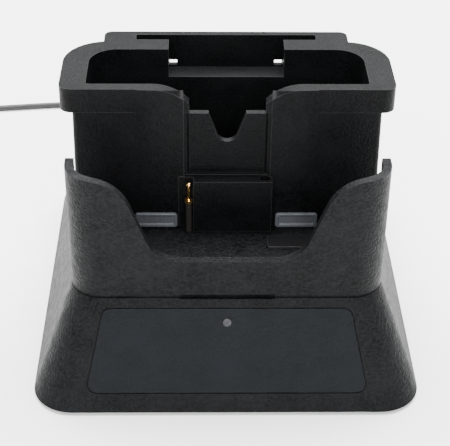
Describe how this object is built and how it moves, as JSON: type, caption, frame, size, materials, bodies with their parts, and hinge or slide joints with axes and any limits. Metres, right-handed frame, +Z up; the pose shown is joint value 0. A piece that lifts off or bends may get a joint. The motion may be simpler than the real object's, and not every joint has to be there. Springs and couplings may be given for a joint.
{
  "type": "gas detector charging cradle",
  "caption": "Desktop charging cradle for a portable gas detector: flared base, scooped cowl round the instrument bay, tower with collar and spare-pack slot, spring contacts, power lead",
  "frame": {"origin": "middle of the base footprint, on the desk", "axes": "+Z up, the front (cowl and label plate) faces -Y, +X to the viewer's right"},
  "size_m": [0.1836, 0.1824, 0.0852],
  "materials": {
    "black_housing": "moulded black ABS, fine spark-eroded grain, satin",
    "black_plate": "moulded black ABS, matt",
    "steel_screw": "zinc-plated steel",
    "green_board": "glass-epoxy board with solder mask",
    "ferrite": "ferrite with a wound coil",
    "can_metal": "aluminium can",
    "chip": "moulded epoxy",
    "terminal": "nylon terminal block",
    "label_film": "polycarbonate overlay, fine grain, no lettering",
    "lens": "smoked diffusing lens",
    "pad": "moulded elastomer, semi-gloss",
    "insert": "black blanking plate",
    "lead_jacket": "black PVC jacket, satin",
    "plug_grip": "moulded PVC grip",
    "plug_metal": "nickel-plated brass",
    "gold_brass": "gold-plated brass",
    "spring_steel": "music wire",
    "foot_rubber": "self-adhesive rubber"
  },
  "bodies": {
    "root": {"base_housing": "black_housing", "base_plate": "black_plate", "bay_contact_left_sleeve": "gold_brass", "bay_contact_right_sleeve": "gold_brass", "bay_floor_insert": "insert", "board_screws": "steel_screw", "charge_controller": "chip", "charge_regulator": "chip", "charger_board": "green_board", "contact_board": "green_board", "contact_board_screws": "steel_screw", "contact_header": "chip", "front_label_plate": "label_film", "housing_screws": "steel_screw", "lead_terminal": "terminal", "pack_contact_left_sleeve": "gold_brass", "pack_contact_right_sleeve": "gold_brass", "plug_barrel": "plug_metal", "plug_body": "plug_grip", "power_inductor": "ferrite", "power_lead": "lead_jacket", "power_lead_coil": "lead_jacket", "power_lead_end": "lead_jacket", "reservoir_capacitor": "can_metal", "rest_pad_left": "pad", "rest_pad_right": "pad", "rubber_foot_back_left": "foot_rubber", "rubber_foot_back_right": "foot_rubber", "rubber_foot_front_left": "foot_rubber", "rubber_foot_front_right": "foot_rubber", "status_led": "lens", "status_led_board": "green_board", "status_light_lens": "lens", "strain_relief": "lead_jacket", "tower": "black_housing"},
    "bay_plunger_left": {"bay_contact_left_plunger": "gold_brass", "bay_contact_left_spring": "spring_steel"},
    "bay_plunger_right": {"bay_contact_right_plunger": "gold_brass", "bay_contact_right_spring": "spring_steel"},
    "pack_plunger_left": {"pack_contact_left_plunger": "gold_brass", "pack_contact_left_spring": "spring_steel"},
    "pack_plunger_right": {"pack_contact_right_plunger": "gold_brass", "pack_contact_right_spring": "spring_steel"}
  },
  "joints": [
    {"name": "bay_press_left", "type": "slide", "parent": "root", "child": "bay_plunger_left", "axis": [0, 0, 1], "range_m": [-0.0025, 0], "stiffness_N_per_m": 160, "springref_m": 0.002, "deforming": ["bay_contact_left_spring"]},
    {"name": "bay_press_right", "type": "slide", "parent": "root", "child": "bay_plunger_right", "axis": [0, 0, 1], "range_m": [-0.0025, 0], "stiffness_N_per_m": 160, "springref_m": 0.002, "deforming": ["bay_contact_right_spring"]},
    {"name": "pack_press_left", "type": "slide", "parent": "root", "child": "pack_plunger_left", "axis": [0, 0, 1], "range_m": [-0.0025, 0], "stiffness_N_per_m": 160, "springref_m": 0.002, "deforming": ["pack_contact_left_spring"]},
    {"name": "pack_press_right", "type": "slide", "parent": "root", "child": "pack_plunger_right", "axis": [0, 0, 1], "range_m": [-0.0025, 0], "stiffness_N_per_m": 160, "springref_m": 0.002, "deforming": ["pack_contact_right_spring"]}
  ]
}
